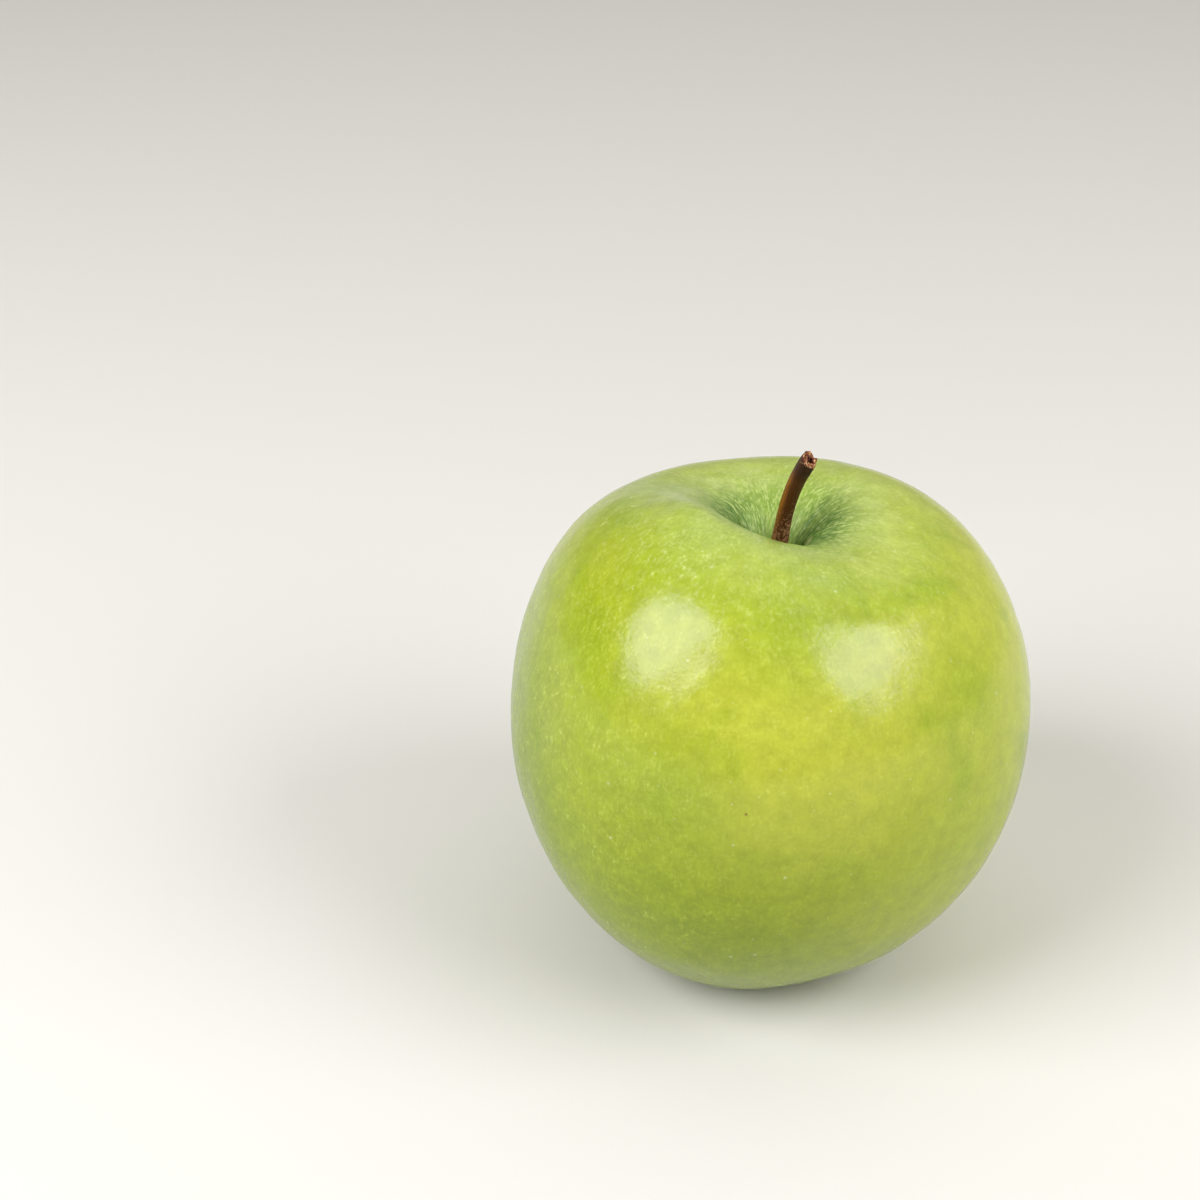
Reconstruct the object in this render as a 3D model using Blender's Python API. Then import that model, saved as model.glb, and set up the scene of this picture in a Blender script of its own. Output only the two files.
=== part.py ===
"""A whole green apple: its body, its woody stem and the dried calyx under it.

Sizes are in millimetres and angles in degrees. The meshes are written in metres, +Z up, standing on
z = 0, with the front towards -Y. The body is one closed outline of four arcs, carried round the core
line and then drawn out into shallow ribs, uneven shoulders and five feet.
"""

import bpy
import numpy as np

MM = 0.001
GAP = 0.3  # clearance between pieces that touch

# body outline: radius from the core line, height above the table
WIDEST_RADIUS = 40.0
WIDEST_HEIGHT = 38.2
CREST_RADIUS = 15.4
CREST_HEIGHT = 73.5
CAVITY_DEPTH = 13.9
FOOT_RADIUS = 14.1
BASIN_DEPTH = 8.0

# how far each arc keeps to its tangent before it turns, as a share of the way to the next corner
SHOULDER_FULLNESS = 0.58
UPPER_FLANK_FULLNESS = 0.52
LOWER_FLANK_FULLNESS = 0.60
UNDERSIDE_FULLNESS = 0.38
CREST_INNER_FULLNESS = 0.66
CAVITY_WALL_FULLNESS = 0.50
FOOT_INNER_FULLNESS = 0.50
BASIN_FLOOR_FULLNESS = 0.60
CAVITY_THROAT_FLARE = 1.8

# the ways in which the body isn't round: size, and the direction of the first bulge
RIB_SHARE, RIB_TURN = 0.0067, 37.0
RIB_SHARE_AT_TOP = 0.3
OVAL_SHARE, OVAL_TURN = 0.0275, 106.0
THREE_SIDED_SHARE, THREE_SIDED_TURN = 0.0228, 3.0
SHOULDER_RISE, SHOULDER_TURN = 2.2, 233.0
SADDLE_RISE, SADDLE_TURN = 1.8, 38.0
LEAN_X, LEAN_Y = 0.018, -0.021  # sideways shift for each millimetre of height
RIBS = 5

# the feet stand between shallow hollows, and each is pressed flat on the table
FOOT_HOLLOW = 0.61
FOOT_ZONE_HEIGHT = 14.0
FOOT_FLAT = 0.14

# stem, from its socket in the cavity floor to its slanting broken end
SOCKET_DEPTH = 2.0
STEM_RISE = 22.9
STEM_REACH_X, STEM_REACH_Y = 4.5, -3.2
STEM_LOWER_SLOPE_X, STEM_LOWER_SLOPE_Y = 0.17, -0.10
STEM_UPPER_SLOPE_X, STEM_UPPER_SLOPE_Y = 0.52, -0.25
STEM_HANDLE = 8.5
STEM_BASE_RADIUS = 1.42
STEM_WAIST_RADIUS = 1.16
STEM_END_RADIUS = 1.26
STEM_BREAK_NORMAL = (0.62, -0.45, 0.60)
STEM_BREAK_REACH = 0.12  # share of the stem over which its rings turn to the slant

# calyx: a low cup ringed by five sepals that lie along the basin and curl off it at their tips
SEPALS = 5
SEPAL_TURN = 12.0
SEPAL_LENGTH = 6.4
NOTCH_RADIUS = 2.7
SEPAL_SHARPNESS = 1.3
SEPAL_CURL = 1.1
SEPAL_THICKNESS = 0.7
CUP_RADIUS = 1.9
CUP_RIM_WIDTH = 0.7
CUP_RIM_HEIGHT = 1.5

# mesh fineness
BODY_SIDES = 65
ARC_STEPS = 12
STEM_SIDES = 16
STEM_STEPS = 24
CALYX_SIDES = 50
CALYX_STEPS = 7

# material colours (linear) and finishes
SKIN_COLOUR, SKIN_ROUGHNESS = (0.45, 0.57, 0.06), 0.35
STEM_COLOUR, STEM_ROUGHNESS = (0.12, 0.05, 0.02), 0.50
CALYX_COLOUR, CALYX_ROUGHNESS = (0.10, 0.06, 0.03), 0.85

CAVITY_FLOOR = CREST_HEIGHT - CAVITY_DEPTH
SOCKET_RADIUS = STEM_BASE_RADIUS + GAP


def even(steps):
    """Evenly spaced shares of a curve, from 0 up to the step before 1."""
    return np.arange(steps) / steps


def closer_to_end(steps):
    """Shares of a curve whose steps get shorter towards its end."""
    share = even(steps)
    return 0.5 * (share + np.sin(0.5 * np.pi * share))


def cubic(start, start_handle, end_handle, end, t):
    """Points along a cubic curve at the shares t of its length in the parameter."""
    t = t[:, None]
    s = 1.0 - t
    corners = np.array([start, start_handle, end_handle, end], dtype=float)
    weights = np.hstack([s**3, 3 * s * s * t, 3 * s * t * t, t**3])
    return weights @ corners


def cavity_arc():
    """From the stem's socket up the cavity wall to the crest of the shoulder."""
    run = CREST_RADIUS - SOCKET_RADIUS
    return cubic(
        (SOCKET_RADIUS, CAVITY_FLOOR),
        (SOCKET_RADIUS + CAVITY_THROAT_FLARE, CAVITY_FLOOR + CAVITY_WALL_FULLNESS * CAVITY_DEPTH),
        (CREST_RADIUS - CREST_INNER_FULLNESS * run, CREST_HEIGHT),
        (CREST_RADIUS, CREST_HEIGHT),
        even(ARC_STEPS),
    )


def shoulder_arc():
    """From the crest out and down to the widest height."""
    run = WIDEST_RADIUS - CREST_RADIUS
    rise = CREST_HEIGHT - WIDEST_HEIGHT
    return cubic(
        (CREST_RADIUS, CREST_HEIGHT),
        (CREST_RADIUS + SHOULDER_FULLNESS * run, CREST_HEIGHT),
        (WIDEST_RADIUS, WIDEST_HEIGHT + UPPER_FLANK_FULLNESS * rise),
        (WIDEST_RADIUS, WIDEST_HEIGHT),
        even(ARC_STEPS),
    )


def flank_arc():
    """From the widest height down and in to the foot."""
    run = WIDEST_RADIUS - FOOT_RADIUS
    return cubic(
        (WIDEST_RADIUS, WIDEST_HEIGHT),
        (WIDEST_RADIUS, WIDEST_HEIGHT * (1.0 - LOWER_FLANK_FULLNESS)),
        (FOOT_RADIUS + UNDERSIDE_FULLNESS * run, 0.0),
        (FOOT_RADIUS, 0.0),
        closer_to_end(ARC_STEPS),
    )


def basin_arc():
    """From the foot up into the basin under the core, to its middle."""
    return cubic(
        (FOOT_RADIUS, 0.0),
        (FOOT_RADIUS * (1.0 - FOOT_INNER_FULLNESS), 0.0),
        (FOOT_RADIUS * BASIN_FLOOR_FULLNESS, BASIN_DEPTH),
        (0.0, BASIN_DEPTH),
        1.0 - np.append(closer_to_end(ARC_STEPS), 1.0)[::-1],
    )


def body_outline():
    """Radius and height from the middle of the socket's floor round to the middle of the basin."""
    socket = [(0.0, CAVITY_FLOOR - SOCKET_DEPTH), (SOCKET_RADIUS, CAVITY_FLOOR - SOCKET_DEPTH)]
    return np.vstack([socket, cavity_arc(), shoulder_arc(), flank_arc(), basin_arc()])


def wave(angle, waves, turn):
    """A cosine with the given number of bulges, the first of them at turn degrees."""
    return np.cos(waves * (angle - np.radians(turn)))


def smooth_step(share):
    """Rises from 0 to 1 with level ends."""
    share = np.clip(share, 0.0, 1.0)
    return share * share * (3.0 - 2.0 * share)


def lean(height):
    """How far the core line has leant sideways at a height."""
    return np.stack([LEAN_X * height, LEAN_Y * height], axis=-1)


def shaped(radius, height, angle):
    """Places points of the round outline on the real, uneven form."""
    below = np.clip(1.0 - height / WIDEST_HEIGHT, 0.0, 1.0)
    rib_depth = RIB_SHARE * (RIB_SHARE_AT_TOP + (1.0 - RIB_SHARE_AT_TOP) * below)
    spread = radius * (
        1.0
        + rib_depth * wave(angle, RIBS, RIB_TURN)
        + OVAL_SHARE * wave(angle, 2, OVAL_TURN)
        + THREE_SIDED_SHARE * wave(angle, 3, THREE_SIDED_TURN)
    )
    above = np.clip((height - WIDEST_HEIGHT) / (CREST_HEIGHT - WIDEST_HEIGHT), 0.0, 1.0)
    shoulder = above**2 * smooth_step(radius / CREST_RADIUS)
    uneven = SHOULDER_RISE * wave(angle, 1, SHOULDER_TURN) + SADDLE_RISE * wave(angle, 2, SADDLE_TURN)
    near_foot = np.clip(1.0 - height / FOOT_ZONE_HEIGHT, 0.0, 1.0) ** 2
    near_foot = near_foot * np.clip(radius / FOOT_RADIUS, 0.0, 1.0) ** 2
    hollow = FOOT_HOLLOW * 0.5 * (1.0 - wave(angle, RIBS, RIB_TURN)) * near_foot
    shift = lean(height)
    x = spread * np.cos(angle) + shift[..., 0]
    y = spread * np.sin(angle) + shift[..., 1]
    z = np.maximum(height + shoulder * uneven + hollow, FOOT_FLAT) - FOOT_FLAT
    return np.stack([x, y, z], axis=-1)


def body_rings():
    """The outline carried round the core line: one ring of points for each point of the outline."""
    outline = body_outline()
    angle = np.radians(RIB_TURN) + 2.0 * np.pi * even(BODY_SIDES)  # one side along each rib
    return shaped(outline[:, :1], outline[:, 1:], angle[None, :])


def stem_rings():
    """Round rings carried along the stem's curve, turning at the end to the slant of the break."""
    foot = np.append(lean(CAVITY_FLOOR), CAVITY_FLOOR - FOOT_FLAT)
    tip = foot + [STEM_REACH_X, STEM_REACH_Y, STEM_RISE]
    lower = np.array([STEM_LOWER_SLOPE_X, STEM_LOWER_SLOPE_Y, 1.0])
    upper = np.array([STEM_UPPER_SLOPE_X, STEM_UPPER_SLOPE_Y, 1.0])
    lower = STEM_HANDLE * lower / np.linalg.norm(lower)
    upper = STEM_HANDLE * upper / np.linalg.norm(upper)
    path = cubic(foot, foot + lower, tip - upper, tip, np.append(even(STEM_STEPS), 1.0))
    socket_floor = foot - [0.0, 0.0, SOCKET_DEPTH - GAP]
    path = np.vstack([socket_floor, path])

    share = np.linspace(0.0, 1.0, len(path))
    narrowing = STEM_BASE_RADIUS - (STEM_BASE_RADIUS - STEM_WAIST_RADIUS) * smooth_step(share / 0.6)
    radius = narrowing + (STEM_END_RADIUS - STEM_WAIST_RADIUS) * smooth_step((share - 0.75) / 0.25)

    along = np.gradient(path, axis=0)
    along[:2] = [0.0, 0.0, 1.0]
    along /= np.linalg.norm(along, axis=1)[:, None]
    side = np.cross([0.0, 1.0, 0.0], along)
    side /= np.linalg.norm(side, axis=1)[:, None]
    front = np.cross(along, side)
    angle = 2.0 * np.pi * even(STEM_SIDES)[None, :, None]
    spoke = np.cos(angle) * side[:, None] + np.sin(angle) * front[:, None]

    normal = np.array(STEM_BREAK_NORMAL)
    slide = -(spoke @ normal) / (along @ normal)[:, None]
    turning = smooth_step((share - 1.0 + STEM_BREAK_REACH) / STEM_BREAK_REACH)
    spoke = spoke + (slide * turning[:, None])[..., None] * along[:, None]
    return path[:, None] + radius[:, None, None] * spoke


def calyx_rings():
    """The dried calyx: out over its upper side to the sepals' edge, then back under them and the cup."""
    angle = np.radians(SEPAL_TURN) + 2.0 * np.pi * even(CALYX_SIDES)[None, :]  # a side along each sepal
    petal = (0.5 * (1.0 + wave(angle, SEPALS, SEPAL_TURN))) ** SEPAL_SHARPNESS
    edge = NOTCH_RADIUS + (SEPAL_LENGTH - NOTCH_RADIUS) * petal
    share = even(CALYX_STEPS)
    share = np.concatenate([share, [1.0], share[::-1]])[:, None]
    radius = share * edge

    basin = basin_arc()[::-1]
    against_basin = np.interp(radius, basin[:, 0], basin[:, 1]) - GAP
    curl = SEPAL_CURL * petal * share**3
    cup_rim = CUP_RIM_HEIGHT * np.exp(-(((radius - CUP_RADIUS) / CUP_RIM_WIDTH) ** 2))
    thickness = (SEPAL_THICKNESS + cup_rim) * np.sqrt(1.0 - share**4)
    thickness[:CALYX_STEPS] = 0.0
    return shaped(radius, against_basin - curl - thickness, angle)


def add_piece(name, rings, colour, roughness, sharp_degrees):
    """One closed solid from rings of points, top ring first, with a point closing each end."""
    count, sides, _ = rings.shape
    points = np.vstack([rings.reshape(-1, 3), rings[0].mean(axis=0), rings[-1].mean(axis=0)])
    first_pole = count * sides
    last_pole = first_pole + 1
    faces = []
    for side in range(sides):
        following = (side + 1) % sides
        faces.append((first_pole, side, following))
        for ring in range(count - 1):
            a, b = ring * sides + side, ring * sides + following
            faces.append((a, a + sides, b + sides, b))
        base = (count - 1) * sides
        faces.append((last_pole, base + following, base + side))

    mesh = bpy.data.meshes.new(name)
    mesh.from_pydata((points * MM).tolist(), [], faces)
    mesh.validate()
    mesh.shade_smooth()
    mesh.set_sharp_from_angle(angle=np.radians(sharp_degrees))
    mesh.materials.append(make_material(name, colour, roughness))
    piece = bpy.data.objects.new(name, mesh)
    bpy.context.scene.collection.objects.link(piece)
    return piece


def make_material(name, colour, roughness):
    material = bpy.data.materials.new(name)
    material.use_nodes = True
    shader = material.node_tree.nodes["Principled BSDF"]
    shader.inputs["Base Color"].default_value = (*colour, 1.0)
    shader.inputs["Roughness"].default_value = roughness
    shader.inputs["Metallic"].default_value = 0.0
    return material


def without_ends(rings):
    """Drops the rings that have shrunk to a point, since each end is closed by a point of its own."""
    size = np.ptp(rings, axis=1).max(axis=-1)
    return rings[size > 1e-6]


def main():
    for item in list(bpy.data.objects):
        bpy.data.objects.remove(item, do_unlink=True)
    body = without_ends(body_rings())
    corners = body.reshape(-1, 3)
    middle = (corners.min(axis=0) + corners.max(axis=0)) / 2.0
    middle[2] = 0.0  # the origin is under the middle of the apple, on the table
    stem = stem_rings()[::-1] - middle
    calyx = without_ends(calyx_rings()) - middle
    add_piece("apple_body", body - middle, SKIN_COLOUR, SKIN_ROUGHNESS, 60.0)
    add_piece("stem", stem, STEM_COLOUR, STEM_ROUGHNESS, 40.0)
    add_piece("calyx", calyx, CALYX_COLOUR, CALYX_ROUGHNESS, 60.0)


main()
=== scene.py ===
import math

import bpy
import numpy as np
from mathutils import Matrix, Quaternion, Vector


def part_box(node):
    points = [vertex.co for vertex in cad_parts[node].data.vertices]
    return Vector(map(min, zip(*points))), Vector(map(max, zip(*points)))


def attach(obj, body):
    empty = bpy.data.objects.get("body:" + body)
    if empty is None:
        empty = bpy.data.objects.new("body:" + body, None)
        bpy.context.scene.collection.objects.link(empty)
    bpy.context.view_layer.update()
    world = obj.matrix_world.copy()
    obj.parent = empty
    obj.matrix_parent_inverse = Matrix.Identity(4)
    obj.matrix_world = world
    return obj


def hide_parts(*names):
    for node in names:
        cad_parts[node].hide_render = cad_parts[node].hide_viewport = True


# a whole green apple with its stem and dried calyx, round the frame's three solids
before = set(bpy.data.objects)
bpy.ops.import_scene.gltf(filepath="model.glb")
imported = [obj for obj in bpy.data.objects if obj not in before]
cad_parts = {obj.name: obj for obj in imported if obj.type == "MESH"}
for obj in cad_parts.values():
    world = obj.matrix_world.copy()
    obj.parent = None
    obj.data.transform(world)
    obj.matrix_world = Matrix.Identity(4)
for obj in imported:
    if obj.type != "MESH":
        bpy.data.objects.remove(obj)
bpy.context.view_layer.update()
bodyLow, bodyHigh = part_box("apple_body")
mm = 0.001
fullTurn = 2.0 * math.pi


# small helpers for arrays, meshes and materials

def smoothStep(share):
    # rises from 0 to 1 with level ends
    share = np.clip(share, 0.0, 1.0)
    return share * share * (3.0 - 2.0 * share)


def wave(angle, waves, turnDegrees):
    # a cosine with that many waves in a full turn, and one of its crests at turnDegrees
    return np.cos(waves * (angle - math.radians(turnDegrees)))


def cubic(start, startHandle, endHandle, end, t):
    # s^3 start + 3 s^2 t startHandle + 3 s t^2 endHandle + t^3 end, with s = 1 - t
    t = np.asarray(t, dtype=float)[:, None]
    s = 1.0 - t
    weights = np.hstack([s**3, 3 * s * s * t, 3 * s * t * t, t**3])
    return weights @ np.array([start, startHandle, endHandle, end], dtype=float)


def softNoise(points, wavelength, seed, count=24):
    # a sum of cosine waves of about one length in random directions, between -1 and 1 for most points
    dice = np.random.default_rng(seed)
    direction = dice.normal(size=(count, points.shape[-1]))
    direction /= np.linalg.norm(direction, axis=1)[:, None]
    number = fullTurn / wavelength * dice.uniform(0.7, 1.4, count)
    phase = dice.uniform(0.0, fullTurn, count)
    total = np.zeros(points.shape[:-1])
    for k in range(count):
        total += np.cos(points @ direction[k] * number[k] + phase[k])
    return total / math.sqrt(2.0 * count)


def closedGrid(rings):
    # one closed skin from rings (rows, columns, 3): quads between the rings, and at each end a fan of
    # triangles to the middle of the last ring
    rows, columns, _ = rings.shape
    points = np.vstack([rings.reshape(-1, 3), rings[:1].mean(axis=1), rings[-1:].mean(axis=1)])
    here = np.arange(columns)
    beside = (here + 1) % columns
    start = (np.arange(rows - 1) * columns)[:, None]
    quads = np.stack([start + here, start + columns + here, start + columns + beside, start + beside],
                     axis=-1)
    firstPole, lastPole = np.full(columns, rows * columns), np.full(columns, rows * columns + 1)
    lastRow = (rows - 1) * columns
    fans = np.vstack([np.stack([firstPole, here, beside], axis=-1),
                      np.stack([lastPole, lastRow + beside, lastRow + here], axis=-1)])
    return points, quads.reshape(-1, 4), fans


def joinedGrids(parts):
    # many closed skins as one: each skin's faces count on from the points before it
    grids = [closedGrid(rings) for rings in parts]
    starts = np.cumsum([0] + [len(grid[0]) for grid in grids[:-1]])
    return (np.vstack([grid[0] for grid in grids]),
            np.vstack([grid[1] + start for grid, start in zip(grids, starts)]),
            np.vstack([grid[2] + start for grid, start in zip(grids, starts)]))


def makePiece(name, grid, nodeName, material):
    points, quads, fans = grid
    mesh = bpy.data.meshes.new(name)
    mesh.from_pydata((points * mm).tolist(), [], quads.tolist() + fans.tolist())
    mesh.validate()
    mesh.shade_smooth()
    mesh.materials.append(material)
    piece = bpy.data.objects.new(name, mesh)
    bpy.context.scene.collection.objects.link(piece)
    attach(piece, "root")
    if nodeName:
        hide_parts(nodeName)
    print("made", name, len(mesh.vertices), "points")
    return piece


def addAttribute(piece, name, values):
    # one number for each point, or three
    kind = "FLOAT" if values.ndim == 1 else "FLOAT_VECTOR"
    layer = piece.data.attributes.new(name, kind, "POINT")
    layer.data.foreach_set("value" if values.ndim == 1 else "vector", np.ravel(values).astype(np.float32))


def linear(hexColour):
    # an sRGB hex colour as the linear values that a shader takes
    channels = [int(hexColour[i:i + 2], 16) / 255.0 for i in (1, 3, 5)]
    return [c / 12.92 if c <= 0.04045 else ((c + 0.055) / 1.055) ** 2.4 for c in channels] + [1.0]


def newMaterial(name):
    material = bpy.data.materials.new(name)
    material.use_nodes = True
    return material, material.node_tree, material.node_tree.nodes["Principled BSDF"]


def addNode(tree, kind, inputs, output=0, **settings):
    # adds a node with its settings and gives one of its outputs; the inputs stand in the node's own order,
    # or by name or number, and each is another node's output, a hex colour or a fixed value
    node = tree.nodes.new("ShaderNode" + kind)
    for key, value in settings.items():
        setattr(node, key, value)
    for key, value in inputs.items() if isinstance(inputs, dict) else enumerate(inputs):
        if isinstance(value, bpy.types.NodeSocket):
            tree.links.new(value, node.inputs[key])
        else:
            node.inputs[key].default_value = linear(value) if isinstance(value, str) else value
    return node.outputs[output]


def product(tree, *shares):
    # shares multiplied together, each another node's output or a fixed value
    total = shares[0]
    for share in shares[1:]:
        total = addNode(tree, "Math", (total, share), operation="MULTIPLY")
    return total


def laidOver(tree, colour, layers):
    # colours laid over the first one: each layer is how much of it shows, from 0 to 1, and its colour
    for share, layer in layers:
        colour = addNode(tree, "Mix", {0: share, 6: colour, 7: layer}, output=2, data_type="RGBA")
    return colour


# the apple's form, in millimetres, on the same sizes as the frame

form = {
    "widestRadius": 40.0, "widestHeight": 38.2,
    "crestRadius": 15.4, "crestHeight": 73.5,
    "cavityDepth": 13.9, "cavityThroat": 1.72, "throatFlare": 1.8,
    "footRadius": 14.1, "basinDepth": 8.0,
    "shoulder": 0.58, "upperFlank": 0.52, "lowerFlank": 0.60, "underside": 0.38,  # handles of the arcs
    "crestInner": 0.66, "cavityWall": 0.50, "footInner": 0.50, "basinFloor": 0.60,
    "rib": (0.0067, 37.0), "ribAtTop": 0.3, "ribs": 5,  # (share of the radius, turn of a crest in degrees)
    "oval": (0.0275, 106.0), "threeSided": (0.0228, 3.0),
    "shoulderRise": (2.2, 233.0), "saddleRise": (1.8, 38.0),  # (height, turn of a crest in degrees)
    "lean": (0.018, -0.021),
    "footHollow": 0.61, "footZone": 14.0, "footFlat": 0.14,
    "outlineSteps": 400,
}


def bodyOutline(steps):
    # radius and height along four cubic arcs, evenly spaced: cavity wall, shoulder, flank, basin
    f = form
    low, rise = f["crestHeight"] - f["cavityDepth"], f["crestHeight"] - f["widestHeight"]
    inner, outer = f["crestRadius"] - f["cavityThroat"], f["widestRadius"] - f["crestRadius"]
    under = f["widestRadius"] - f["footRadius"]
    crest, widest = (f["crestRadius"], f["crestHeight"]), (f["widestRadius"], f["widestHeight"])
    foot = (f["footRadius"], 0.0)
    arcs = [
        ((f["cavityThroat"], low),
         (f["cavityThroat"] + f["throatFlare"], low + f["cavityWall"] * f["cavityDepth"]),
         (crest[0] - f["crestInner"] * inner, crest[1]), crest),
        (crest, (crest[0] + f["shoulder"] * outer, crest[1]),
         (widest[0], widest[1] + f["upperFlank"] * rise), widest),
        (widest, (widest[0], widest[1] * (1.0 - f["lowerFlank"])),
         (foot[0] + f["underside"] * under, 0.0), foot),
        (foot, (foot[0] * (1.0 - f["footInner"]), 0.0),
         (foot[0] * f["basinFloor"], f["basinDepth"]), (0.0, f["basinDepth"])),
    ]
    t = np.linspace(0.0, 1.0, f["outlineSteps"])
    dense = np.vstack([cubic(*arc, t) for arc in arcs])
    length = np.append(0.0, np.cumsum(np.linalg.norm(np.diff(dense, axis=0), axis=1)))
    even = np.linspace(0.0, length[-1], steps)
    outline = np.stack([np.interp(even, length, dense[:, k]) for k in (0, 1)], axis=-1)
    return outline, even


def leanAt(height):
    # the core leans: x and y grow with the height
    return np.stack([form["lean"][0] * height, form["lean"][1] * height], axis=-1)


def shaped(radius, height, angle):
    # a point of the round outline on the real form: the radius grows by ribs, an oval and a three-sided
    # wave, the shoulders rise and fall round the crest, and the feet stand between shallow hollows
    f = form
    below = np.clip(1.0 - height / f["widestHeight"], 0.0, 1.0)
    ribDepth = f["rib"][0] * (f["ribAtTop"] + (1.0 - f["ribAtTop"]) * below)
    spread = radius * (1.0 + ribDepth * wave(angle, f["ribs"], f["rib"][1])
                       + f["oval"][0] * wave(angle, 2, f["oval"][1])
                       + f["threeSided"][0] * wave(angle, 3, f["threeSided"][1]))
    above = np.clip((height - f["widestHeight"]) / (f["crestHeight"] - f["widestHeight"]), 0.0, 1.0)
    shoulder = above**2 * smoothStep(radius / f["crestRadius"])
    uneven = (f["shoulderRise"][0] * wave(angle, 1, f["shoulderRise"][1])
              + f["saddleRise"][0] * wave(angle, 2, f["saddleRise"][1]))
    nearFoot = np.clip(1.0 - height / f["footZone"], 0.0, 1.0) ** 2
    nearFoot = nearFoot * np.clip(radius / f["footRadius"], 0.0, 1.0) ** 2
    hollow = f["footHollow"] * 0.5 * (1.0 - wave(angle, f["ribs"], f["rib"][1])) * nearFoot
    shift = leanAt(height)
    x = spread * np.cos(angle) + shift[..., 0]
    y = spread * np.sin(angle) + shift[..., 1]
    z = np.maximum(height + shoulder * uneven + hollow, f["footFlat"]) - f["footFlat"]
    return np.stack([x, y, z], axis=-1)


def middleOfForm():
    # how far the form's middle, seen from above, lies from the middle of the frame's body
    outline, _ = bodyOutline(200)
    angle = np.linspace(0.0, fullTurn, 360, endpoint=False)
    points = shaped(outline[:, :1], outline[:, 1:], angle[None, :]).reshape(-1, 3)
    middle = (points.min(axis=0) + points.max(axis=0)) / 2.0 - np.array((bodyLow + bodyHigh) / 2.0) / mm
    return np.array([middle[0], middle[1], 0.0])


formMiddle = middleOfForm()
print("form worked out, its middle is", formMiddle.round(2))


# the skin: each relief has its height, its length or number, and its seed; lengths are in millimetres
skinLook = {
    "rows": 290, "columns": 320,
    "undulation": 0.10, "undulationLength": 16.0, "undulationSeed": 7,
    "ripple": 0.04, "rippleLength": 6.5, "rippleSeed": 17,
    "furrows": 0.07, "furrowCount": 46, "furrowSeed": 11,
    "evenBelow": 3.0,  # the reliefs fade out below this height, so that the feet stay flat
    "throatRadius": 0.3, "throatDrop": 1.5,  # the first ring closes the hole that the stem stands in
}


def makeSkin(material):
    # rings of the outline, moved outwards by slow undulations and a finer ripple all over, and by radial
    # furrows down the stem cavity
    look = skinLook
    outline, along = bodyOutline(look["rows"] - 1)
    throat = [form["cavityThroat"] * look["throatRadius"], outline[0, 1] - look["throatDrop"]]
    outline = np.vstack([throat, outline[:-1]])
    along = np.append(-2.0, along[:-1])
    angle = np.linspace(0.0, fullTurn, look["columns"], endpoint=False)[None, :]
    rings = shaped(outline[:, :1], outline[:, 1:], angle)

    downRow = np.gradient(rings, axis=0)
    roundRow = np.roll(rings, -1, axis=1) - np.roll(rings, 1, axis=1)
    outward = np.cross(downRow, roundRow)
    outward /= np.linalg.norm(outward, axis=-1, keepdims=True) + 1e-12
    inCavity = np.clip(1.0 - outline[:, 0] / form["crestRadius"], 0.0, 1.0)
    inCavity = (inCavity * (outline[:, 1] > form["widestHeight"]))[:, None]
    circle = np.stack([np.cos(angle), np.sin(angle)], axis=-1) * np.ones_like(rings[..., :1])
    furrow = softNoise(circle, fullTurn / look["furrowCount"], look["furrowSeed"])
    wobble = (look["undulation"] * softNoise(rings, look["undulationLength"], look["undulationSeed"])
              + look["ripple"] * softNoise(rings, look["rippleLength"], look["rippleSeed"]))
    fade = smoothStep(rings[..., 2] / look["evenBelow"])
    relief = (wobble + look["furrows"] * furrow * np.sqrt(inCavity)) * fade
    relief[:3] = 0.0
    rings = rings + relief[..., None] * outward - formMiddle

    skin = makePiece("apple_skin", closedGrid(rings), "apple_body", material)
    # grain: a unit circle round the core, and the way down from the stem in units of the widest radius
    down = along[:, None, None] / form["widestRadius"] * np.ones_like(rings[..., :1])
    grain = np.concatenate([circle, down], axis=-1).reshape(-1, 3)
    poles = np.array([[0.0, 0.0, down[0, 0, 0]], [0.0, 0.0, down[-1, 0, 0]]])
    addAttribute(skin, "grain", np.vstack([grain, poles]))


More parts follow.
